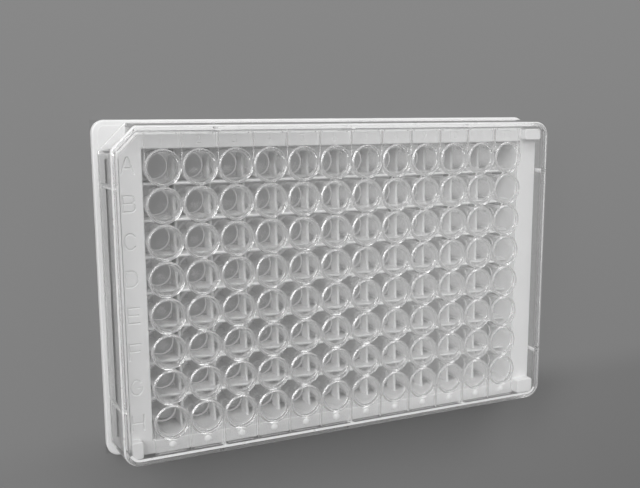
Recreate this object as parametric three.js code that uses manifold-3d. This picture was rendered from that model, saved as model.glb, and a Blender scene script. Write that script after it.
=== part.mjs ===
// A 96-well strip plate: a white holder frame, twelve clear strips of eight wells, and a clear
// lid with one cut corner over well A1.
// Millimetres, +Z up. X runs from column 1 to column 12 and Y towards row A. The origin is at the
// middle of the footprint, on the surface that the plate stands on.

import * as THREE from "three";
import { mergeVertices } from "three/addons/utils/BufferGeometryUtils.js";
import Module from "manifold-3d";

const wasm = await Module();
wasm.setup();

// ---------- driving dimensions ----------

const ROWS = 8;
const COLUMNS = 12;
const PITCH = 9;
const FACETS = 10; // sides of a round well
const CORNER_FACETS = 4; // straight steps in a rounded corner
const GAP = 0.3; // clearance between pieces that rest on each other

// Holder frame
const FOOTPRINT = { x: 63.88, y: 42.74, radius: 3.2 }; // half sizes of the base flange
const FLANGE_TOP = 2.5;
const BODY = { x: 60.3, y: 39.5, radius: 2.2, cut: 5.5 }; // half sizes of the upright walls
const DECK_Z = 12.3; // top of the four rails, which the strips' tabs rest on
const WELL_FIELD = { x: 54.1, y: 35.9 }; // half sizes of the opening that the wells hang in
const WALL = 1.2;
const ROW_RIB = { thickness: 0.85, bottom: 1.8, top: 8 };
const COLUMN_RIB = { thickness: 0.8, bottom: 1.8, top: 6 };
const POST_Z = 14.6;
const POSTS = [
  { x: [54.8, 62], y: [36.3, 41] },
  { x: [54.8, 62], y: [-41, -35.2] },
  { x: [-62, -57.4], y: [-41, -35] },
];

// Strips
const PLATE = { bottom: DECK_Z + GAP, top: 13.6, halfWidth: 4.35, web: 1.2 };
const TAB = { halfWidth: 4.2, end: 39.5 };
const PIP = { radius: 0.75, height: 0.3, inset: 2.4, facets: 8 }; // on the tab at row H
const RIM = { z: 14.2, outer: 4.3, mouth: 3.6 };
const WELL = { outer: 3.75, bottom: 3.2, floor: 3.2, underside: 2.2 };

// Lid
const LID = { bottom: 4, top: 16.2, radius: 4, cut: 6.2, wall: 1.1, ceiling: 14.9 };
const LID_LOW = { x: 63, y: 42.4 }; // half sizes at the open edge
const LID_HIGH = { x: 61.85, y: 41.05 }; // half sizes at the top
const LID_FIELD = { inset: 1.5, z: 15.9 }; // the sunken middle of the top, inside a low border
// Guide ribs inside the skirt, placed along each side
const NUB = { width: 0.9, bottom: 6, longSides: [-36, 0, 36], shortSides: [-27, 27] };

const strips = Array.from({ length: COLUMNS }, (_, i) => ({
  name: `strip_${String(i + 1).padStart(2, "0")}`,
  x: (i - (COLUMNS - 1) / 2) * PITCH,
}));
const rowPlaces = Array.from({ length: ROWS }, (_, j) => ((ROWS - 1) / 2 - j) * PITCH);

// ---------- geometry helpers ----------

// A closed three.js geometry as a solid that can be joined and cut.
function solid(geometry) {
  const bare = geometry.clone();
  bare.deleteAttribute("normal");
  bare.deleteAttribute("uv");
  const merged = mergeVertices(bare, 1e-4);
  const corners = merged.index.array;
  const triangles = [];
  for (let i = 0; i < corners.length; i += 3) {
    const [a, b, c] = [corners[i], corners[i + 1], corners[i + 2]];
    if (a !== b && b !== c && c !== a) triangles.push(a, b, c);
  }
  return new wasm.Manifold(
    new wasm.Mesh({
      numProp: 3,
      vertProperties: Float32Array.from(merged.attributes.position.array),
      triVerts: Uint32Array.from(triangles),
    }),
  );
}

function block([x0, x1], [y0, y1], [z0, z1]) {
  const box = new THREE.BoxGeometry(x1 - x0, y1 - y0, z1 - z0);
  return solid(box.translate((x0 + x1) / 2, (y0 + y1) / 2, (z0 + z1) / 2));
}

// A rectangle with rounded corners. If cut is given, the corner at low x and high y is cut off
// straight by that much along each side.
function outline([x0, x1], [y0, y1], radius, cut = 0) {
  const shape = new THREE.Shape();
  shape.moveTo(x0 + radius, y0);
  shape.absarc(x1 - radius, y0 + radius, radius, -Math.PI / 2, 0);
  shape.absarc(x1 - radius, y1 - radius, radius, 0, Math.PI / 2);
  if (cut) {
    shape.lineTo(x0 + cut, y1);
    shape.lineTo(x0, y1 - cut);
  } else {
    shape.absarc(x0 + radius, y1 - radius, radius, Math.PI / 2, Math.PI);
  }
  shape.absarc(x0 + radius, y0 + radius, radius, Math.PI, 1.5 * Math.PI);
  return shape;
}

// An upright prism on an outline. Its top outline is scaled, which gives the walls their draft.
function prism(shape, [z0, z1], scale = [1, 1]) {
  const geometry = new THREE.ExtrudeGeometry(shape, {
    depth: z1 - z0,
    bevelEnabled: false,
    curveSegments: CORNER_FACETS,
  });
  const place = geometry.attributes.position;
  for (let i = 0; i < place.count; i += 1) {
    if (place.getZ(i) > (z1 - z0) / 2) {
      place.setXY(i, place.getX(i) * scale[0], place.getY(i) * scale[1]);
    }
  }
  return solid(geometry.translate(0, 0, z0));
}

// A turned shape about a vertical axis, from a profile of [radius, height] points.
function turned(profile, facets) {
  const points = profile.map(([radius, height]) => new THREE.Vector2(radius, height));
  return solid(new THREE.LatheGeometry(points, facets).rotateX(Math.PI / 2));
}

// The span from near to far on one side of the origin, in rising order.
function sideSpan(side, near, far) {
  return side > 0 ? [near, far] : [-far, -near];
}

function join(parts) {
  return parts.reduce((whole, part) => whole.add(part));
}

function cutAll(whole, cutters) {
  return cutters.reduce((left, cutter) => left.subtract(cutter), whole);
}

function mesh(name, shape, material) {
  const { vertProperties, triVerts } = shape.getMesh();
  const geometry = new THREE.BufferGeometry();
  geometry.setAttribute("position", new THREE.BufferAttribute(vertProperties, 3));
  geometry.setIndex(new THREE.BufferAttribute(triVerts, 1));
  geometry.computeVertexNormals();
  const result = new THREE.Mesh(geometry, material);
  result.name = name;
  return result;
}

// ---------- holder frame ----------

function makeFrame() {
  const flange = prism(
    outline([-FOOTPRINT.x, FOOTPRINT.x], [-FOOTPRINT.y, FOOTPRINT.y], FOOTPRINT.radius),
    [0, FLANGE_TOP],
  );
  const bodyOutline = outline([-BODY.x, BODY.x], [-BODY.y, BODY.y], BODY.radius, BODY.cut);
  const body = prism(bodyOutline, [0, DECK_Z]);
  const postBounds = prism(bodyOutline, [0, POST_Z]);
  const posts = POSTS.map(({ x, y }) => block(x, y, [0, POST_Z]).intersect(postBounds));

  const field = block(
    [-WELL_FIELD.x, WELL_FIELD.x],
    [-WELL_FIELD.y, WELL_FIELD.y],
    [-1, DECK_Z + 1],
  );
  // The rails are hollow, open underneath.
  const hollowHeight = [-1, DECK_Z - WALL];
  const endLength = [-WELL_FIELD.y + WALL, WELL_FIELD.y - WALL];
  const sideLength = [-WELL_FIELD.x, WELL_FIELD.x];
  const hollows = [-1, 1].flatMap((side) => [
    block(sideSpan(side, WELL_FIELD.x + WALL, BODY.x - WALL), endLength, hollowHeight),
    block(sideLength, sideSpan(side, WELL_FIELD.y + WALL, BODY.y - WALL), hollowHeight),
  ]);
  const shell = cutAll(join([flange, body]), [field, ...hollows]);

  const rowRibs = rowPlaces.slice(1).map((y) => {
    const middle = y + PITCH / 2;
    return block(
      [-WELL_FIELD.x - WALL / 2, WELL_FIELD.x + WALL / 2],
      [middle - ROW_RIB.thickness / 2, middle + ROW_RIB.thickness / 2],
      [ROW_RIB.bottom, ROW_RIB.top],
    );
  });
  const columnGaps = strips.slice(1).map(({ x }) => x - PITCH / 2);
  const columnRibs = columnGaps.map((middle) =>
    block(
      [middle - COLUMN_RIB.thickness / 2, middle + COLUMN_RIB.thickness / 2],
      [-WELL_FIELD.y - WALL / 2, WELL_FIELD.y + WALL / 2],
      [COLUMN_RIB.bottom, COLUMN_RIB.top],
    ),
  );
  return join([shell, ...posts, ...rowRibs, ...columnRibs]);
}

// ---------- strips ----------

// The plate of one strip: full width beside each well, drawn in to a narrow web between two wells,
// and with a tab at each end.
function plateOutline() {
  const draw = PLATE.halfWidth - PLATE.web;
  const webs = rowPlaces.slice(1).map((y) => y + PITCH / 2);
  const side = webs.flatMap((y) => [
    [PLATE.halfWidth, y + draw],
    [PLATE.web, y],
    [PLATE.halfWidth, y - draw],
  ]);
  const tab = [
    [TAB.halfWidth, TAB.end],
    [TAB.halfWidth, rowPlaces[0] + 3],
    [PLATE.halfWidth, rowPlaces[0] + 2],
  ];
  const right = [...tab, ...side, ...tab.map(([x, y]) => [x, -y]).reverse()];
  const left = right.map(([x, y]) => [-x, y]).reverse();
  return new THREE.Shape([...right, ...left].reverse().map(([x, y]) => new THREE.Vector2(x, y)));
}

function makeStrip() {
  const plate = prism(plateOutline(), [PLATE.bottom, PLATE.top]);
  const outside = [
    [0, WELL.underside],
    [WELL.outer, WELL.underside],
    [WELL.outer, PLATE.bottom],
    [RIM.outer, PLATE.bottom],
    [RIM.outer, RIM.z],
    [0, RIM.z],
  ];
  const inside = [
    [0, WELL.floor],
    [WELL.bottom, WELL.floor],
    [RIM.mouth, RIM.z],
    [RIM.mouth, RIM.z + 1],
    [0, RIM.z + 1],
  ];
  const body = turned(outside, FACETS);
  const cavity = turned(inside, FACETS);
  const bodies = rowPlaces.map((y) => body.translate([0, y, 0]));
  const cavities = rowPlaces.map((y) => cavity.translate([0, y, 0]));
  const pipProfile = [
    [0, -PIP.height],
    [PIP.radius, -PIP.height],
    [PIP.radius, PIP.height],
    [0, PIP.height],
  ];
  const pip = turned(pipProfile, PIP.facets);
  const pipPlace = [0, PIP.inset - TAB.end, PLATE.top];
  return cutAll(join([plate, ...bodies, pip.translate(pipPlace)]), cavities);
}

// ---------- lid ----------

function makeLid() {
  const draft = [LID_HIGH.x / LID_LOW.x, LID_HIGH.y / LID_LOW.y];
  const outside = prism(
    outline([-LID_LOW.x, LID_LOW.x], [-LID_LOW.y, LID_LOW.y], LID.radius, LID.cut),
    [LID.bottom, LID.top],
    draft,
  );
  const low = { x: LID_LOW.x - LID.wall, y: LID_LOW.y - LID.wall };
  const innerCut = LID.cut - LID.wall * (2 - Math.SQRT2);
  const inside = prism(
    outline([-low.x, low.x], [-low.y, low.y], LID.radius - LID.wall, innerCut),
    [LID.bottom - 1, LID.ceiling],
    draft,
  );
  const field = { x: LID_HIGH.x - LID_FIELD.inset, y: LID_HIGH.y - LID_FIELD.inset };
  const fieldCut = LID.cut - LID_FIELD.inset * (2 - Math.SQRT2);
  const sunken = prism(
    outline([-field.x, field.x], [-field.y, field.y], LID.radius - LID_FIELD.inset, fieldCut),
    [LID_FIELD.z, LID.top + 1],
  );
  const nubHeight = [NUB.bottom, (LID.ceiling + LID_FIELD.z) / 2];
  const across = (place) => [place - NUB.width / 2, place + NUB.width / 2];
  const nubs = [-1, 1].flatMap((side) => [
    ...NUB.longSides.map((x) =>
      block(across(x), sideSpan(side, BODY.y + GAP, low.y - GAP), nubHeight),
    ),
    ...NUB.shortSides.map((y) =>
      block(sideSpan(side, BODY.x + GAP, low.x - GAP), across(y), nubHeight),
    ),
  ]);
  return join([cutAll(outside, [inside, sunken]), ...nubs]);
}

// ---------- the plate ----------

const whitePlastic = new THREE.MeshStandardMaterial({ color: 0xdfe0de, roughness: 0.5, metalness: 0 });
const clearPlastic = new THREE.MeshStandardMaterial({
  color: 0xeef1f2,
  roughness: 0.08,
  metalness: 0,
  transparent: true,
  opacity: 0.3,
});

const wellPlate = new THREE.Group();
wellPlate.add(mesh("frame", makeFrame(), whitePlastic));
const strip = makeStrip();
for (const { name, x } of strips) {
  const piece = mesh(name, strip, clearPlastic);
  piece.position.x = x;
  wellPlate.add(piece);
}
wellPlate.add(mesh("lid", makeLid(), clearPlastic));

export default wellPlate;
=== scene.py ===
"""Looks for a 96-well strip plate: white holder frame, twelve clear strips and a clear lid.

Lengths in this script are millimetres in the plate's own frame, unless a name ends in _M, and
each mesh is scaled to metres when its object is made. X runs from column 1 to column 12, Y
towards row A, and Z out of the wells.
"""

import math

import bmesh
import bpy
from mathutils import Matrix, Vector


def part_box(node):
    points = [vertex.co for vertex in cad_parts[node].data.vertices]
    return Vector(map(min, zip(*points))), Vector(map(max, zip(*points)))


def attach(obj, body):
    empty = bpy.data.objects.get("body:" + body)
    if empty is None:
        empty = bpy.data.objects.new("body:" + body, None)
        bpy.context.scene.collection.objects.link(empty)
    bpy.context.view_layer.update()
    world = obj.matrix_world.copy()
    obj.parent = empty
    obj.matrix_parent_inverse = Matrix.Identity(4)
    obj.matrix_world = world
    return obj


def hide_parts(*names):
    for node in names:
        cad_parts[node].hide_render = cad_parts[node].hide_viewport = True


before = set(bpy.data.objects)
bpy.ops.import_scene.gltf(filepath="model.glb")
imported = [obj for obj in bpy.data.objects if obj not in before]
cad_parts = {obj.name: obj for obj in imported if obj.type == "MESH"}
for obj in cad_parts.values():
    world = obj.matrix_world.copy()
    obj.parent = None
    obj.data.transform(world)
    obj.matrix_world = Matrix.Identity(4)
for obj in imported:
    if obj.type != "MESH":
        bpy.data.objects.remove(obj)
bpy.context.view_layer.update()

MM = 0.001
BODY = "root"


# ---------- layout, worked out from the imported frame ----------


def box_mm(node):
    """Lowest and highest corner of a CAD node, in millimetres."""
    low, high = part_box(node)
    return low / MM, high / MM


FRAME_LOW, FRAME_HIGH = box_mm("frame")
LID_LOW, LID_HIGH = box_mm("lid")
STRIP_NAMES = sorted(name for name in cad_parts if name.startswith("strip_"))
STRIP_BOXES = {name: box_mm(name) for name in STRIP_NAMES}
STRIP_X = {name: (low.x + high.x) / 2 for name, (low, high) in STRIP_BOXES.items()}
COLUMNS = len(STRIP_NAMES)
PITCH = (STRIP_X[STRIP_NAMES[-1]] - STRIP_X[STRIP_NAMES[0]]) / (COLUMNS - 1)
ROWS = 8
ROW_Y = [((ROWS - 1) / 2 - row) * PITCH for row in range(ROWS)]

PLATE_TOP = 13.6  # the webs and tabs of a strip
PLATE_BOTTOM = 12.6


# ---------- mesh helpers ----------


def ring(bm, points):
    """The vertices of a ring, in order."""
    return [bm.verts.new(point) for point in points]


def circle(bm, radius, z, centre, count):
    x, y = centre
    turns = [2 * math.pi * i / count for i in range(count)]
    return ring(bm, [(x + radius * math.cos(t), y + radius * math.sin(t), z) for t in turns])


def bridge(bm, first, second):
    """Quads between two closed rings with the same number of points."""
    count = len(first)
    for i in range(count):
        j = (i + 1) % count
        bm.faces.new((first[i], first[j], second[j], second[i]))


def loft(bm, rings):
    """A skin through a row of rings, open at both ends."""
    for first, second in zip(rings, rings[1:]):
        bridge(bm, first, second)


def ring_edges(bm, loop):
    """The edges of a closed ring, made where there are none yet."""
    edges = []
    for i, vert in enumerate(loop):
        pair = (vert, loop[(i + 1) % len(loop)])
        edges.append(bm.edges.get(pair) or bm.edges.new(pair))
    return edges


def fill(bm, *loops):
    """Flat triangles between an outer ring and the rings of its holes."""
    edges = [edge for loop in loops for edge in ring_edges(bm, loop)]
    bmesh.ops.triangle_fill(bm, use_beauty=True, use_dissolve=False, edges=edges)


def make_object(name, bm, material, sharp_degrees):
    """An object in metres from a mesh in millimetres."""
    bmesh.ops.recalc_face_normals(bm, faces=bm.faces)
    mesh = bpy.data.meshes.new(name)
    bm.to_mesh(mesh)
    bm.free()
    mesh.transform(Matrix.Scale(MM, 4))
    mesh.shade_smooth()
    mesh.set_sharp_from_angle(angle=math.radians(sharp_degrees))
    mesh.materials.append(material)
    thing = bpy.data.objects.new(name, mesh)
    bpy.context.scene.collection.objects.link(thing)
    shading = thing.modifiers.new("weighted_normals", "WEIGHTED_NORMAL")
    shading.keep_sharp = True
    return thing


def arc(centre, radius, start, end, steps):
    """Points on an arc, with angles in degrees."""
    angles = [math.radians(start + (end - start) * i / steps) for i in range(steps + 1)]
    return [(centre[0] + radius * math.cos(a), centre[1] + radius * math.sin(a)) for a in angles]


def rounded(points, radius, steps=3):
    """A closed outline with each corner replaced by an arc that touches both of its sides."""
    result = []
    count = len(points)
    for i in range(count):
        before, here, after = (Vector(points[k % count]) for k in (i - 1, i, i + 1))
        to_before = (before - here).normalized()
        to_after = (after - here).normalized()
        half = to_before.angle(to_after) / 2
        reach = radius / math.tan(half)
        start, end = here + to_before * reach, here + to_after * reach
        centre = here + (to_before + to_after).normalized() * (radius / math.sin(half))
        for step in range(steps + 1):
            spoke = (start - centre).lerp(end - centre, step / steps)
            result.append(tuple(centre + spoke.normalized() * radius))
    return result


def inset(points, distance):
    """A closed anticlockwise outline moved inwards by a small distance."""
    result = []
    count = len(points)
    for i in range(count):
        before, here, after = (Vector(points[k % count]) for k in (i - 1, i, i + 1))
        side = ((here - before).normalized() + (after - here).normalized()).normalized()
        normal = Vector((-side.y, side.x))
        slant = max(0.4, normal.dot(Vector((-(after - here).y, (after - here).x)).normalized()))
        result.append(tuple(here + normal * distance / slant))
    return result


def soft_prism(points, bottom, top, fillet):
    """A closed prism on an anticlockwise outline, with a round top edge."""
    bm = bmesh.new()
    layers = [(bottom, 0)]
    for degrees in (0, 30, 60, 90):
        turn = math.radians(degrees)
        layers.append((top - fillet * (1 - math.sin(turn)), fillet * (1 - math.cos(turn))))
    rings = [ring(bm, [(x, y, z) for x, y in inset(points, shrink)]) for z, shrink in layers]
    loft(bm, rings)
    bm.faces.new(rings[0])
    bm.faces.new(rings[-1])
    bmesh.ops.recalc_face_normals(bm, faces=bm.faces)
    return bm


def block(x0, x1, y0, y1, z0, z1):
    """A plain box."""
    bm = bmesh.new()
    bmesh.ops.create_cube(bm, size=1)
    bmesh.ops.scale(bm, vec=(x1 - x0, y1 - y0, z1 - z0), verts=bm.verts)
    bmesh.ops.translate(bm, vec=((x0 + x1) / 2, (y0 + y1) / 2, (z0 + z1) / 2), verts=bm.verts)
    return bm


def scratch_object(bm):
    """A passing object for a boolean step."""
    mesh = bpy.data.meshes.new("scratch")
    bm.to_mesh(mesh)
    bm.free()
    thing = bpy.data.objects.new("scratch", mesh)
    bpy.context.scene.collection.objects.link(thing)
    return thing


def combine(base, tools, operation):
    """One solid joined with or cut by others, taken one at a time. All are meshes in millimetres."""
    target = scratch_object(base)
    for tool in tools:
        other = scratch_object(tool)
        step = target.modifiers.new("step", "BOOLEAN")
        step.operation = operation
        step.solver = "MANIFOLD"
        step.object = other
        evaluated = target.evaluated_get(bpy.context.evaluated_depsgraph_get())
        result = bpy.data.meshes.new_from_object(evaluated)
        target.modifiers.clear()
        old, target.data = target.data, result
        bpy.data.meshes.remove(old)
        spare = other.data
        bpy.data.objects.remove(other)
        bpy.data.meshes.remove(spare)
    bm = bmesh.new()
    bm.from_mesh(target.data)
    spare = target.data
    bpy.data.objects.remove(target)
    bpy.data.meshes.remove(spare)
    return bm


# ---------- materials ----------


def shader_tree(name):
    """A new material and its empty node tree."""
    material = bpy.data.materials.new(name)
    material.use_nodes = True
    tree = material.node_tree
    tree.nodes.clear()
    return material, tree


def add(tree, kind, **values):
    """A node with values on its named sockets or, for lower-case names, its own settings."""
    node = tree.nodes.new(kind)
    for key, value in values.items():
        if key[0].isupper():
            node.inputs[key.replace("_", " ")].default_value = value
        else:
            setattr(node, key, value)
    return node


def noise(tree, coordinates, scale, detail, low, high):
    """A noise field, in object space, remapped to run from low to high."""
    field = add(tree, "ShaderNodeTexNoise", Scale=scale, Detail=detail)
    tree.links.new(coordinates, field.inputs["Vector"])
    remap = add(tree, "ShaderNodeMapRange", From_Min=0.3, From_Max=0.7, To_Min=low, To_Max=high)
    tree.links.new(field.outputs["Fac"], remap.inputs["Value"])
    return remap.outputs["Result"]


def bump(tree, height, strength, distance):
    """A normal from a height field, with the distance in metres."""
    node = add(tree, "ShaderNodeBump", Strength=strength, Distance=distance)
    tree.links.new(height, node.inputs["Height"])
    return node.outputs["Normal"]


def fade(tree, value, start, end, low, high):
    """A smooth change from low to high while a value runs from start to end."""
    node = add(tree, "ShaderNodeMapRange", interpolation_type="SMOOTHSTEP")
    for socket, setting in (("From Min", start), ("From Max", end), ("To Min", low), ("To Max", high)):
        node.inputs[socket].default_value = setting
    tree.links.new(value, node.inputs["Value"])
    return node.outputs["Result"]


def maths(tree, operation, first, second=None):
    """A sum on sockets or plain numbers."""
    node = add(tree, "ShaderNodeMath", operation=operation)
    for i, value in enumerate((first, second)):
        if isinstance(value, (int, float)):
            node.inputs[i].default_value = value
        elif value is not None:
            tree.links.new(value, node.inputs[i])
    return node.outputs["Value"]


def grey(tree, value):
    """A colour with the same value in all three channels."""
    node = add(tree, "ShaderNodeCombineColor")
    for channel in ("Red", "Green", "Blue"):
        tree.links.new(value, node.inputs[channel])
    return node.outputs["Color"]


def white_plastic():
    """Satin white moulding, with a fine spark-eroded grain and a faint change of tone."""
    material, tree = shader_tree("white_plastic")
    place = add(tree, "ShaderNodeTexCoord").outputs["Object"]
    surface = add(tree, "ShaderNodeBsdfPrincipled", IOR=1.5)
    tone = noise(tree, place, 45, 3, 0, 1)
    colour = add(tree, "ShaderNodeMix", data_type="RGBA")
    colour.inputs["A"].default_value = (0.76, 0.76, 0.76, 1)
    colour.inputs["B"].default_value = (0.80, 0.80, 0.80, 1)
    tree.links.new(tone, colour.inputs["Factor"])
    tree.links.new(colour.outputs["Result"], surface.inputs["Base Color"])
    tree.links.new(noise(tree, place, 700, 4, 0.38, 0.55), surface.inputs["Roughness"])
    grain = noise(tree, place, 2500, 3, 0, 1)
    tree.links.new(bump(tree, grain, 0.25, 0.00004), surface.inputs["Normal"])
    out = add(tree, "ShaderNodeOutputMaterial")
    tree.links.new(surface.outputs["BSDF"], out.inputs["Surface"])
    return material


def clear_plastic(name, flat_share, wall_share, longest, scatter, slanted=0.0):
    """Clear polystyrene. Shadow and diffuse rays go straight through, and each flat face or wall lets
    its share of them past, so that lamps light what is behind it. Light with more bounces than the
    longest path comes out as an even glow of the scatter's tone, since it has been thrown about
    inside the clear parts. A flat face seen at a slant lets the slanted share of the view straight
    through, so that no lamp's mirror image hides what it covers."""
    material, tree = shader_tree(name)
    place = add(tree, "ShaderNodeTexCoord").outputs["Object"]
    surface = add(tree, "ShaderNodeBsdfPrincipled", IOR=1.55)
    surface.inputs["Base Color"].default_value = (0.99, 0.99, 0.99, 1)
    surface.inputs["Transmission Weight"].default_value = 1
    tree.links.new(noise(tree, place, 220, 3, 0.01, 0.05), surface.inputs["Roughness"])
    flow = noise(tree, place, 90, 2, 0, 1)
    tree.links.new(bump(tree, flow, 0.03, 0.0002), surface.inputs["Normal"])
    scattered = add(tree, "ShaderNodeEmission", Color=(scatter, scatter, scatter, 1))
    slant = add(tree, "ShaderNodeSeparateXYZ")
    tree.links.new(add(tree, "ShaderNodeNewGeometry").outputs["Normal"], slant.inputs["Vector"])
    passed = fade(tree, maths(tree, "ABSOLUTE", slant.outputs["Z"]), 0.2, 0.8, wall_share, flat_share)
    clear = add(tree, "ShaderNodeBsdfTransparent")
    tree.links.new(grey(tree, passed), clear.inputs["Color"])
    path = add(tree, "ShaderNodeLightPath")
    late = maths(tree, "GREATER_THAN", path.outputs["Ray Depth"], longest + 0.5)
    facing = add(tree, "ShaderNodeLayerWeight", Blend=0.5).outputs["Facing"]
    slanting = fade(tree, facing, 0.3, 0.5, 0, slanted)
    level = fade(tree, maths(tree, "ABSOLUTE", slant.outputs["Z"]), 0.9, 0.98, 0, 1)
    flat_and_slanting = maths(tree, "MULTIPLY", slanting, level)
    direct = maths(tree, "MULTIPLY", path.outputs["Is Camera Ray"], flat_and_slanting)
    seen = surface.outputs["BSDF"]
    for when, shader in (
        (direct, clear.outputs["BSDF"]),
        (late, scattered.outputs["Emission"]),
        (path.outputs["Is Diffuse Ray"], clear.outputs["BSDF"]),
        (path.outputs["Is Shadow Ray"], clear.outputs["BSDF"]),
    ):
        mix = add(tree, "ShaderNodeMixShader")
        tree.links.new(when, mix.inputs["Fac"])
        tree.links.new(seen, mix.inputs[1])
        tree.links.new(shader, mix.inputs[2])
        seen = mix.outputs["Shader"]
    out = add(tree, "ShaderNodeOutputMaterial")
    tree.links.new(seen, out.inputs["Surface"])
    return material


def satin_clear(name, passed, smooth, rough, glint=0.0):
    """Clear polystyrene with a satin face, which catches the light and lets only part of it past.
    The glint is the weight of a brighter skin on it."""
    material, tree = shader_tree(name)
    place = add(tree, "ShaderNodeTexCoord").outputs["Object"]
    surface = add(tree, "ShaderNodeBsdfPrincipled", IOR=1.55)
    surface.inputs["Base Color"].default_value = (0.95, 0.95, 0.95, 1)
    surface.inputs["Transmission Weight"].default_value = passed
    surface.inputs["Coat Weight"].default_value = glint
    surface.inputs["Coat Roughness"].default_value = 0.2
    surface.inputs["Coat IOR"].default_value = 1.9
    tree.links.new(noise(tree, place, 300, 3, smooth, rough), surface.inputs["Roughness"])
    tree.links.new(bump(tree, noise(tree, place, 1500, 2, 0, 1), 0.1, 0.00004), surface.inputs["Normal"])
    clear = add(tree, "ShaderNodeBsdfTransparent", Color=(0.8, 0.8, 0.8, 1))
    path = add(tree, "ShaderNodeLightPath")
    mix = add(tree, "ShaderNodeMixShader")
    tree.links.new(path.outputs["Is Shadow Ray"], mix.inputs["Fac"])
    tree.links.new(surface.outputs["BSDF"], mix.inputs[1])
    tree.links.new(clear.outputs["BSDF"], mix.inputs[2])
    out = add(tree, "ShaderNodeOutputMaterial")
    tree.links.new(mix.outputs["Shader"], out.inputs["Surface"])
    return material


white = white_plastic()
clear_strip = clear_plastic("clear_strip", flat_share=0.965, wall_share=0.985, longest=6, scatter=0.4)
clear_lid = clear_plastic(
    "clear_lid", flat_share=0.92, wall_share=0.76, longest=7, scatter=0.42, slanted=0.92
)
lid_satin = satin_clear("clear_lid_satin", 0.4, 0.25, 0.45)
rim_satin = satin_clear("clear_rim_satin", 0.88, 0.18, 0.28, 0.55)
mark_satin = satin_clear("clear_mark_satin", 0.35, 0.3, 0.45)


# ---------- strips ----------

WELL_SIDES = 64
TAB_HALF = 4.22
TAB_END = 39.45
TAB_CORNERS = (39.9, 0.65)  # the tab's corners reach out to here, and are this wide
TAB_FOOT = 32.5  # the tab starts here, inside the wall of the last well
WEB = (1.2, 0.45)  # half sizes of the web between two wells

# Profile of a well as (radius, height), from the middle of the bottom up its outside, over the
# rim, down the step to its mouth and on to the floor.
WELL_PROFILE = [
    (3.1, 2.2),
    (3.4, 2.2),
    (3.58, 2.27),
    (3.7, 2.45),
    (3.76, 2.75),
    (3.91, 12.0),
    (3.94, 12.35),
    (4.02, 12.52),
    (4.15, 12.6),
    (4.37, 12.6),
    (4.45, 12.7),
    (4.45, 13.84),
    (4.14, 14.13),
    (4.08, 14.18),
    (4.03, 14.2),
    (3.98, 14.18),
    (3.82, 14.03),
    (3.8, 13.5),
    (3.78, 13.38),
    (3.72, 13.3),
    (3.62, 13.23),
    (3.55, 13.13),
    (3.5, 13.0),
    (3.47, 12.8),
    (3.24, 4.2),
    (3.19, 3.85),
    (3.05, 3.53),
    (2.83, 3.31),
    (2.55, 3.2),
]
PIP_PROFILE = [(0.92, 13.4), (0.9, 13.6), (0.8, 13.69), (0.64, 13.77), (0.44, 13.83), (0.2, 13.86)]
PIP_Y = -37.3
DASH_Y = -36.2
DASH_PROFILE = [(1.1, 0.24, 13.4), (1.1, 0.22, 13.6), (0.98, 0.14, 13.7), (0.8, 0.05, 13.74)]
# Satin faces of a well as (lowest and highest middle, inner and outer radius): both slopes of the
# rim and the edge of the mouth
SATIN_BANDS = [(13.82, 14.3, 4.1, 4.44), (13.82, 14.3, 3.84, 3.97), (13.02, 13.28, 3.5, 3.63)]
RIM_SLOT, MARK_SLOT = 1, 2  # material slots of a strip, after the clear plastic


def in_satin_band(middle):
    """Whether the middle of a face lies in a satin band of the nearest well."""
    row = min(ROW_Y, key=lambda y: abs(y - middle.y))
    radius = math.hypot(middle.x, middle.y - row)
    return any(low < middle.z < high and near < radius < far for low, high, near, far in SATIN_BANDS)


def tab(side):
    """The tab at one end of a strip, with its inner end hidden in the wall of the last well."""
    reach, width = TAB_CORNERS
    inner = TAB_HALF - width
    points = [(TAB_HALF, TAB_FOOT), (TAB_HALF, reach), (inner, reach), (inner - 0.1, TAB_END)]
    points += [(-x, y) for x, y in reversed(points)]
    points += arc((0, ROW_Y[0]), 4.0, 165, 15, 12)
    if side < 0:
        points = [(-x, -y) for x, y in points]
    return soft_prism(points, PLATE_BOTTOM, PLATE_TOP, 0.08)


def make_strip_mesh():
    """One strip: eight wells joined by webs, with a tab at each end, a pip and a dash."""
    wells = bmesh.new()
    for y in ROW_Y:
        rings = [circle(wells, r, z, (0, y), WELL_SIDES) for r, z in WELL_PROFILE]
        loft(wells, rings)
        wells.faces.new(rings[0])
        wells.faces.new(rings[-1])
    half_x, half_y = WEB
    tools = [tab(1), tab(-1)]
    for y in ROW_Y[1:]:
        middle = y + PITCH / 2
        tools.append(block(-half_x, half_x, middle - half_y, middle + half_y, PLATE_BOTTOM, PLATE_TOP))
    marks = bmesh.new()
    rings = [circle(marks, r, z, (0, PIP_Y), 24) for r, z in PIP_PROFILE]
    loft(marks, rings)
    marks.faces.new(rings[0])
    marks.faces.new(rings[-1])
    tools.append(marks)
    dash = bmesh.new()
    turns = [2 * math.pi * i / 24 for i in range(24)]
    rings = []
    for half, depth, z in DASH_PROFILE:
        rings.append(ring(dash, [(half * math.cos(t), DASH_Y + depth * math.sin(t), z) for t in turns]))
    loft(dash, rings)
    dash.faces.new(rings[0])
    dash.faces.new(rings[-1])
    tools.append(dash)
    for bm in (wells, *tools):
        bmesh.ops.recalc_face_normals(bm, faces=bm.faces)
    whole = combine(wells, tools, "UNION")
    for piece in whole.faces:
        middle = piece.calc_center_median()
        if middle.z > PLATE_TOP + 0.02 and middle.y < DASH_Y + 0.25 and abs(middle.x) < 1.2:
            piece.material_index = MARK_SLOT
        elif in_satin_band(middle):
            piece.material_index = RIM_SLOT
    return whole


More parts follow.
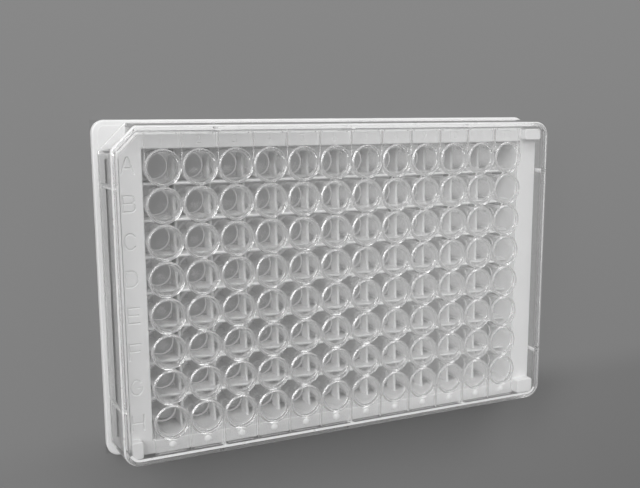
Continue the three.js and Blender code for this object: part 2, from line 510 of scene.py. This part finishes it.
strip_source = make_object(STRIP_NAMES[0] + "_clear", make_strip_mesh(), clear_strip, 28)
strip_source.data.materials.append(rim_satin)
strip_source.data.materials.append(mark_satin)
strips = {STRIP_NAMES[0]: strip_source}
for name in STRIP_NAMES[1:]:
    strips[name] = strip_source.copy()
    strips[name].name = name + "_clear"
    bpy.context.scene.collection.objects.link(strips[name])
for name, piece in strips.items():
    piece.location.x = STRIP_X[name] * MM
    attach(piece, BODY)
    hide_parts(name)


# ---------- lid ----------

LID_TOP = LID_HIGH.z
LID_BOTTOM = LID_LOW.z
LID_EDGE = (LID_HIGH.x, 41.8)  # half sizes at the open edge
LID_FACE = (61.85, 41.05)  # half sizes at the top
LID_WALL = 1.1
LID_CEILING = 14.9
LID_RADIUS = 4.0
LID_CUTS = (6.8, 5.5)  # how far the corner is cut at the open edge and at the top
FIELD_DEPTH = 0.32  # how far the middle of the top lies below its border
LID_SHIFT = 0.35  # the lid has some play and lies pushed towards row A
NUB_LONG = (-36, 0, 36)
NUB_SHORT = (-27, 27)


def lid_outline(half, radius, cut, nub=0.0):
    """Anticlockwise outline of the lid: three round corners, and the corner at low x and high y cut
    off. Guide ribs stand nub millimetres into the lid on its straight sides."""
    hx, hy = half
    soft = min(1.2, radius)
    swell = [(-0.6, 0), (-0.42, 0.62), (-0.18, 1), (0.18, 1), (0.42, 0.62), (0.6, 0)]
    points = [(x + t, -hy + nub * share) for x in NUB_LONG for t, share in swell]
    points += arc((hx - radius, -hy + radius), radius, -90, 0, 8)
    points += [(hx - nub * share, y + t) for y in NUB_SHORT for t, share in swell]
    points += arc((hx - radius, hy - radius), radius, 0, 90, 8)
    points += [(x - t, hy - nub * share) for x in reversed(NUB_LONG) for t, share in swell]
    bend = soft * math.tan(math.radians(22.5))
    points += arc((-hx + cut + bend, hy - soft), soft, 90, 135, 4)
    points += arc((-hx + soft, hy - cut - bend), soft, 135, 180, 4)
    points += [(-hx + nub * share, y - t) for y in reversed(NUB_SHORT) for t, share in swell]
    points += arc((-hx + radius, -hy + radius), radius, 180, 270, 8)
    return points


def lid_ring(bm, z, shrink, at_z=None, nub=0.0):
    """A ring of the lid at height z. Its size is that of the wall at height at_z, less shrink."""
    share = ((z if at_z is None else at_z) - LID_BOTTOM) / (LID_TOP - LID_BOTTOM)
    half = [edge + (face - edge) * share - shrink for edge, face in zip(LID_EDGE, LID_FACE)]
    low, high = LID_CUTS
    cut = low + (high - low) * share - shrink * (2 - math.sqrt(2))
    return ring(bm, [(x, y, z) for x, y in lid_outline(half, max(0.6, LID_RADIUS - shrink), cut, nub)])


GATE_PROFILE = [(1.5, 0), (1.42, -0.08), (1.2, -0.1), (1.1, -0.02), (0.62, -0.02), (0.55, 0.06), (0.3, 0.1)]
# The lid's border as (inset from the face's edge, height above or below the top), from the
# sunken middle to the outer wall
BORDER = [
    (2.1, -1),
    (1.9, -0.97),
    (1.7, -0.86),
    (1.5, -0.64),
    (1.3, -0.38),
    (1.15, -0.18),
    (1.0, -0.05),
    (0.85, 0),
]


def make_lid_mesh():
    """The lid as one skin, from its sunken middle over the border, down the skirt and up inside."""
    bm = bmesh.new()
    ceiling = LID_CEILING
    rings = [lid_ring(bm, LID_TOP + share * FIELD_DEPTH, shrink, LID_TOP) for shrink, share in BORDER]
    rings += [
        lid_ring(bm, LID_TOP, 0.5),
        lid_ring(bm, LID_TOP - 0.03, 0.32),
        lid_ring(bm, LID_TOP - 0.12, 0.15),
        lid_ring(bm, LID_TOP - 0.28, 0.04),
        lid_ring(bm, LID_TOP - 0.5, 0),
        lid_ring(bm, LID_BOTTOM + 0.1, 0),
        lid_ring(bm, LID_BOTTOM, 0.08),
        lid_ring(bm, LID_BOTTOM, LID_WALL - 0.08),
        lid_ring(bm, LID_BOTTOM + 0.1, LID_WALL),
        lid_ring(bm, LID_BOTTOM + 2.0, LID_WALL),
        lid_ring(bm, LID_BOTTOM + 2.6, LID_WALL, nub=0.6),
        lid_ring(bm, ceiling - 0.7, LID_WALL, nub=0.3),
        lid_ring(bm, ceiling - 0.12, LID_WALL, nub=0.2),
        lid_ring(bm, ceiling, LID_WALL + 0.12),
    ]
    loft(bm, rings)
    bm.faces.new(rings[-1])
    face = LID_TOP - FIELD_DEPTH
    gate = [circle(bm, r, face + dz, (0, 0), 32) for r, dz in GATE_PROFILE]
    loft(bm, gate)
    bm.faces.new(gate[-1])
    fill(bm, rings[0], gate[0])
    bmesh.ops.recalc_face_normals(bm, faces=bm.faces)
    for piece in bm.faces:
        middle, normal = piece.calc_center_median(), piece.normal
        border = max(abs(middle.x) / LID_FACE[0], abs(middle.y) / LID_FACE[1]) > 0.9
        steep = abs(normal.z) < 0.95 and (normal.y > 0.15 or (middle.x < 0 and normal.x < -0.15))
        inside = LID_BOTTOM + 2 < middle.z < ceiling - 0.1 and abs(normal.z) < 0.5
        on_long = any(abs(middle.x - x) < 0.7 for x in NUB_LONG) and abs(middle.y) < LID_FACE[1] - 0.3
        on_short = any(abs(middle.y - y) < 0.7 for y in NUB_SHORT) and abs(middle.x) < LID_FACE[0] - 0.3
        if (border and steep and middle.z > LID_TOP - 0.45) or (inside and (on_long or on_short)):
            piece.material_index = 1
    bmesh.ops.translate(bm, vec=(0, LID_SHIFT, 0), verts=bm.verts)
    return bm


lid = make_object("lid_clear", make_lid_mesh(), clear_lid, 28)
lid.data.materials.append(lid_satin)
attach(lid, BODY)
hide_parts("lid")


# ---------- holder frame ----------

DECK_Z = 12.3  # top of the four rails, which the tabs rest on
FLANGE_TOP = 2.5
# Section of the flange as (height, inset)
FLANGE_PROFILE = [
    (0, 0.15),
    (0.15, 0),
    (2.0, 0),
    (2.2, 0.08),
    (2.34, 0.25),
    (2.38, 0.5),
    (2.38, 1.15),
    (2.42, 1.35),
    (FLANGE_TOP, 1.55),
]
BODY_X, BODY_Y = 60.3, 39.5
BODY_LEFT = -59.8  # the wall on the column 1 side, with a narrow slot at its foot
FIELD_X, FIELD_Y = 54.1, 35.9  # half sizes of the opening that the wells hang in
WALL = 1.2
POST_Z = 14.6
POSTS = [
    ((54.8, 60.3), (36.3, 39.5)),
    ((54.8, 60.3), (-39.5, -35.2)),
    ((BODY_LEFT, -56.9), (-39.5, -35.0)),
]
ROW_RIB = (0.85, 1.8, 8.0)  # thickness, bottom and top
COLUMN_RIB = (0.8, 1.8, 6.0)
RIB_ROOT = 0.6  # how far the ribs run into the walls
RIB_SHIFT = 0.22  # the row ribs lie a little towards row A
FOOT_SLOT = ((-60.35, BODY_LEFT), (-37.8, 33.4))  # x and y, cut right through the flange

# Strokes of the engraved marks in a box that runs from -1 to 1 both ways: straight runs of
# points, and arcs as (centre x, centre y, radius x, radius y, first angle, last angle).
GLYPHS = {
    "A": [[(-1, -1), (-0.12, 1), (0.12, 1), (1, -1)], [(-0.7, -0.3), (0.7, -0.3)]],
    "B": [
        [(0.3, 1), (-0.95, 1), (-0.95, -1), (0.3, -1)],
        [(-0.95, 0.05), (0.3, 0.05)],
        (0.3, 0.525, 0.6, 0.475, 90, -90),
        (0.3, -0.475, 0.7, 0.525, 90, -90),
    ],
    "C": [(0, 0, 0.95, 1, 40, 320)],
    "D": [[(0, 1), (-0.95, 1), (-0.95, -1), (0, -1)], (0, 0, 0.95, 1, 90, -90)],
    "E": [[(0.9, 1), (-0.9, 1), (-0.9, -1), (0.9, -1)], [(-0.9, 0.05), (0.75, 0.05)]],
    "F": [[(0.9, 1), (-0.9, 1), (-0.9, -1)], [(-0.9, 0.05), (0.75, 0.05)]],
    "G": [(0, 0, 0.95, 1, 40, 360), [(0.95, 0), (0.25, 0)]],
    "H": [[(-0.95, 1), (-0.95, -1)], [(0.95, 1), (0.95, -1)], [(-0.95, 0), (0.95, 0)]],
    "0": [(0, 0, 0.8, 1, 0, 360)],
    "1": [[(-0.4, 0.55), (0.1, 1), (0.1, -1)]],
    "2": [(0, 0.45, 0.8, 0.55, 160, -30), [(0.7, 0.17), (-0.8, -1), (0.85, -1)]],
    "3": [(0, 0.5, 0.75, 0.5, 150, -90), (0, -0.5, 0.85, 0.5, 90, -150)],
    "4": [[(0.4, -1), (0.4, 1), (-0.9, -0.35), (0.9, -0.35)]],
    "5": [[(0.7, 1), (-0.65, 1), (-0.75, 0.1)], (0, -0.35, 0.85, 0.65, 140, -150)],
    "6": [(0, -0.35, 0.8, 0.65, 0, 360), [(-0.78, -0.25), (0.3, 1)]],
    "7": [[(-0.8, 1), (0.8, 1), (-0.2, -1)]],
    "8": [(0, 0.48, 0.65, 0.52, 0, 360), (0, -0.5, 0.8, 0.5, 0, 360)],
    "9": [(0, 0.35, 0.8, 0.65, 0, 360), [(0.78, 0.25), (-0.3, -1)]],
}
LETTER = (1.5, 1.9, 0.5, 0.24)  # half width, half height, stroke width and depth
LETTER_X = -57.6
LETTER_LIFT = 0.6  # the letters stand this far above the middle of their row
DIGIT = (0.62, 0.95, 0.34, 0.1)
NUMBER_Y = 38.0


def box_outline(x0, x1, y0, y1, radius, steps=6, cut=0.0):
    """Anticlockwise rectangle with round corners, or with a cut corner at low x and high y."""
    points = arc((x1 - radius, y0 + radius), radius, -90, 0, steps)
    points += arc((x1 - radius, y1 - radius), radius, 0, 90, steps)
    if cut:
        points += rounded([(x0 + cut + 3, y1), (x0 + cut, y1), (x0, y1 - cut), (x0, y1 - cut - 3)], 1.2)[4:12]
    else:
        points += arc((x0 + radius, y1 - radius), radius, 90, 180, steps)
    points += arc((x0 + radius, y0 + radius), radius, 180, 270, steps)
    return points


def extrusion(profile, axis, start, end):
    """A closed bar with a profile of (across, height) points, running along X or Y."""
    bm = bmesh.new()

    def place(at, across, height):
        return (at, across, height) if axis == "X" else (across, at, height)

    rings = [ring(bm, [place(at, across, height) for across, height in profile]) for at in (start, end)]
    loft(bm, rings)
    bm.faces.new(rings[0])
    bm.faces.new(rings[-1])
    bmesh.ops.recalc_face_normals(bm, faces=bm.faces)
    return bm


def rib_profile(middle, thickness, bottom, top):
    """A rib's section, with a little draft and a round top."""
    foot, half = thickness / 2 + 0.05, thickness / 2 - 0.03
    crown = arc((middle, top - half), half, 0, 180, 6)
    return [(middle - foot, bottom), (middle + foot, bottom)] + crown


def edge_profile(edge, side):
    """What is cut off a rail's inner edge at the deck to make it round."""
    soft = 0.3
    curve = [(edge, DECK_Z - soft), (edge + side * 0.09, DECK_Z - 0.09), (edge + side * soft, DECK_Z)]
    back = edge - side * 0.5
    return [(back, DECK_Z - soft), *curve, (edge + side * soft, DECK_Z + 1), (back, DECK_Z + 1)]


def groove(bm, start, end, width, top, depth):
    """Adds a tool for one stroke: a bar with round ends that narrows towards its bottom."""
    run = Vector(end) - Vector(start)
    turn = math.degrees(math.atan2(run.y, run.x))
    rings = []
    for share, z in ((0.62, top + 0.2), (0.5, top), (0.34, top - depth * 0.75), (0.14, top - depth)):
        points = arc(end, width * share, turn - 90, turn + 90, 5)
        points += arc(start, width * share, turn + 90, turn + 270, 5)
        rings.append(ring(bm, [(x, y, z) for x, y in points]))
    loft(bm, rings)
    bm.faces.new(rings[0])
    bm.faces.new(rings[-1])


def engrave(tools, character, place, size):
    """Adds the strokes of one character. No two strokes of a character go into the same tool."""
    half_width, half_height, stroke, depth = size
    strokes = 0
    for part in GLYPHS[character]:
        if isinstance(part, tuple):
            cx, cy, rx, ry, first, last = part
            steps = max(6, round(abs(last - first) / 20))
            turns = [math.radians(first + (last - first) * i / steps) for i in range(steps + 1)]
            run = [(cx + rx * math.cos(t), cy + ry * math.sin(t)) for t in turns]
        else:
            run = part
        points = [(place[0] + x * half_width, place[1] + y * half_height) for x, y in run]
        for start, end in zip(points, points[1:]):
            if strokes == len(tools):
                tools.append(bmesh.new())
            groove(tools[strokes], start, end, stroke, DECK_Z, depth)
            strokes += 1


def stepped_flange():
    """The base flange, with a low border round its top and soft edges."""
    outline = box_outline(FRAME_LOW.x, FRAME_HIGH.x, FRAME_LOW.y, FRAME_HIGH.y, 3.2, 8)
    bm = bmesh.new()
    rings = [ring(bm, [(x, y, z) for x, y in inset(outline, shrink)]) for z, shrink in FLANGE_PROFILE]
    loft(bm, rings)
    bm.faces.new(rings[0])
    bm.faces.new(rings[-1])
    bmesh.ops.recalc_face_normals(bm, faces=bm.faces)
    return bm


def make_frame():
    """The white frame: flange and body, hollowed out, with posts, ribs and engraved marks."""
    body = soft_prism(box_outline(BODY_LEFT, BODY_X, -BODY_Y, BODY_Y, 2.2, 6, 5.0), 0.3, DECK_Z, 0.3)
    shell = combine(stepped_flange(), [body], "UNION")

    inner = FIELD_X + WALL
    deep_y = FIELD_Y - WALL
    hollow = (-1, DECK_Z - WALL)
    cutters = [block(-FIELD_X, FIELD_X, -FIELD_Y, FIELD_Y, -1, DECK_Z + 1)]
    for side in (-1, 1):
        cutters.append(extrusion(edge_profile(side * FIELD_X, side), "Y", -FIELD_Y - 0.2, FIELD_Y + 0.2))
        cutters.append(extrusion(edge_profile(side * FIELD_Y, side), "X", -FIELD_X - 0.2, FIELD_X + 0.2))
        x0, x1 = sorted((side * inner, side * (-BODY_LEFT - WALL)))
        cutters.append(block(x0, x1, -deep_y, deep_y, *hollow))
        y0, y1 = sorted((side * (FIELD_Y + WALL), side * (BODY_Y - WALL)))
        cutters.append(block(-FIELD_X, FIELD_X, y0, y1, *hollow))
    slot_x, slot_y = FOOT_SLOT
    cutters.append(block(*slot_x, *slot_y, -1, FLANGE_TOP + 0.3))
    shell = combine(shell, cutters, "DIFFERENCE")

    parts = []
    for (x0, x1), (y0, y1) in POSTS:
        parts.append(soft_prism(box_outline(x0, x1, y0, y1, 0.7, 4), 2.8, POST_Z, 0.3))
    end_x, end_y = FIELD_X + RIB_ROOT, FIELD_Y + RIB_ROOT
    for y in ROW_Y[1:]:
        profile = rib_profile(y + PITCH / 2 + RIB_SHIFT, *ROW_RIB)
        parts.append(extrusion(profile, "X", -end_x, end_x))
    for name in STRIP_NAMES[1:]:
        profile = rib_profile(STRIP_X[name] - PITCH / 2, *COLUMN_RIB)
        parts.append(extrusion(profile, "Y", -end_y, end_y))
    whole = combine(shell, parts, "UNION")

    marks = []
    for row, y in enumerate(ROW_Y):
        engrave(marks, "ABCDEFGH"[row], (LETTER_X, y + LETTER_LIFT), LETTER)
    for i, name in enumerate(STRIP_NAMES):
        digits = str(i + 1)
        for k, digit in enumerate(digits):
            shift = (k - (len(digits) - 1) / 2) * 1.7
            engrave(marks, digit, (STRIP_X[name] + shift, NUMBER_Y), DIGIT)
    for tool in marks:
        bmesh.ops.recalc_face_normals(tool, faces=tool.faces)
    return combine(whole, marks, "DIFFERENCE")


frame_piece = make_object("frame_white", make_frame(), white, 35)
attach(frame_piece, BODY)
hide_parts("frame")


# ---------- floor, light and camera ----------

BACKDROP = ((-0.09, 0.2), (0.09, 0.25))  # tone of the floor at two places along Y, in metres


def floor_material():
    """Plain grey paper, paler towards row A. It keeps the plate's shadow along row H, and most of it
    is lost elsewhere. Seen through clear plastic, the part under the plate is an even grey."""
    material, tree = shader_tree("grey_floor")
    place = add(tree, "ShaderNodeNewGeometry").outputs["Position"]
    axes = add(tree, "ShaderNodeSeparateXYZ")
    tree.links.new(place, axes.inputs["Vector"])
    x, y = axes.outputs["X"], axes.outputs["Y"]
    (near, near_tone), (far, far_tone) = BACKDROP
    grade = add(tree, "ShaderNodeMapRange", From_Min=near, From_Max=far, To_Min=near_tone, To_Max=far_tone)
    tree.links.new(y, grade.inputs["Value"])

    def within(half_x, half_y):
        """1 inside a rectangle round the middle of the plate, and 0 outside it."""
        inside_x = maths(tree, "LESS_THAN", maths(tree, "ABSOLUTE", x), half_x * MM)
        inside_y = maths(tree, "LESS_THAN", maths(tree, "ABSOLUTE", y), half_y * MM)
        return maths(tree, "MULTIPLY", inside_x, inside_y)

    under = within(FRAME_HIGH.x, FRAME_HIGH.y)
    shade = maths(tree, "SUBTRACT", 1, maths(tree, "MULTIPLY", under, 0.12))
    tone = grey(tree, maths(tree, "MULTIPLY", grade.outputs["Result"], shade))
    paper = add(tree, "ShaderNodeBsdfDiffuse")
    glow = add(tree, "ShaderNodeEmission")
    for shader in (paper, glow):
        tree.links.new(tone, shader.inputs["Color"])
    seen_through = add(tree, "ShaderNodeLightPath").outputs["Is Transmission Ray"]
    clear = maths(tree, "MULTIPLY", within(FIELD_X + 1, FIELD_Y + 1), seen_through)
    beside = maths(tree, "SUBTRACT", 1, under)
    lit = maths(tree, "MULTIPLY", beside, fade(tree, y, -0.046, -0.034, 0.1, 0.85))
    mix = add(tree, "ShaderNodeMixShader")
    tree.links.new(maths(tree, "ADD", clear, lit), mix.inputs["Fac"])
    tree.links.new(paper.outputs["BSDF"], mix.inputs[1])
    tree.links.new(glow.outputs["Emission"], mix.inputs[2])
    out = add(tree, "ShaderNodeOutputMaterial")
    tree.links.new(mix.outputs["Shader"], out.inputs["Surface"])
    return material


FLOOR_HALF_M = 4.0
bm = bmesh.new()
half_mm = FLOOR_HALF_M / MM
bm.faces.new(ring(bm, [(x * half_mm, y * half_mm, 0) for x, y in ((-1, -1), (1, -1), (1, 1), (-1, 1))]))
floor = make_object("floor", bm, floor_material(), 30)


def area_light(name, place, size, watts):
    """A lamp that looks at the middle of the base."""
    data = bpy.data.lights.new(name, "AREA")
    data.shape = "RECTANGLE"
    data.size, data.size_y = size
    data.energy = watts
    lamp = bpy.data.objects.new(name, data)
    lamp.location = place
    lamp.rotation_euler = (-Vector(place)).to_track_quat("-Z", "Y").to_euler()
    bpy.context.scene.collection.objects.link(lamp)


# Long lamps, as (name, place in metres, width and height in metres, watts)
for lamp in (
    ("left_light", (-0.7, 0.455, 0.5), (0.9, 0.24), 5.4),
    ("far_light", (0.33, 0.77, 0.45), (0.7, 0.12), 1.9),
    ("high_light", (-0.22, 0.35, 0.9), (0.8, 0.4), 2.4),
):
    area_light(*lamp)


def studio_world():
    """Soft light from the room: pale all round, dark straight above, and a pale screen high up
    beyond column 12."""
    world = bpy.data.worlds.new("studio")
    bpy.context.scene.world = world
    world.use_nodes = True
    tree = world.node_tree
    tree.nodes.clear()
    direction = add(tree, "ShaderNodeTexCoord").outputs["Generated"]
    parts = []
    for axis, start, end, low, high in (
        ((0, -1, 0), -0.1, 0.55, 1, 0.35),
        ((0, 0, 1), 0.55, 0.88, 0.6, 0.18),
        ((0.72, -0.1, 0.69), 0.86, 1.0, 0, 0.9),
    ):
        along = add(tree, "ShaderNodeVectorMath", operation="DOT_PRODUCT")
        tree.links.new(direction, along.inputs[0])
        along.inputs[1].default_value = axis
        parts.append(fade(tree, along.outputs["Value"], start, end, low, high))
    total = maths(tree, "ADD", maths(tree, "MULTIPLY", parts[0], parts[1]), parts[2])
    background = add(tree, "ShaderNodeBackground", Color=(1, 1, 1, 1))
    tree.links.new(total, background.inputs["Strength"])
    out = add(tree, "ShaderNodeOutputWorld")
    tree.links.new(background.outputs["Background"], out.inputs["Surface"])


studio_world()

CAMERA_PLACE = Vector((-91.5, 42.8, 200.9))
CAMERA_AIM = Vector((0.3983, -0.1563, -0.9038))
CAMERA_UP = Vector((0.0685, 0.9877, -0.1406))
FOCAL_LENGTH = 44.7

camera_data = bpy.data.cameras.new("camera")
camera_data.sensor_width = 36
camera_data.lens = FOCAL_LENGTH
camera_data.clip_start = 0.01
camera = bpy.data.objects.new("camera", camera_data)
side = CAMERA_AIM.cross(CAMERA_UP).normalized()
up = side.cross(CAMERA_AIM).normalized()
turn = Matrix((side, up, -CAMERA_AIM.normalized())).transposed()
camera.matrix_world = Matrix.Translation(CAMERA_PLACE * MM) @ turn.to_4x4()
bpy.context.scene.collection.objects.link(camera)
bpy.context.scene.camera = camera

bpy.context.scene.view_settings.view_transform = "Standard"
cycles = bpy.context.scene.cycles
cycles.max_bounces = 24
cycles.glossy_bounces = 24
cycles.transmission_bounces = 24
cycles.transparent_max_bounces = 64
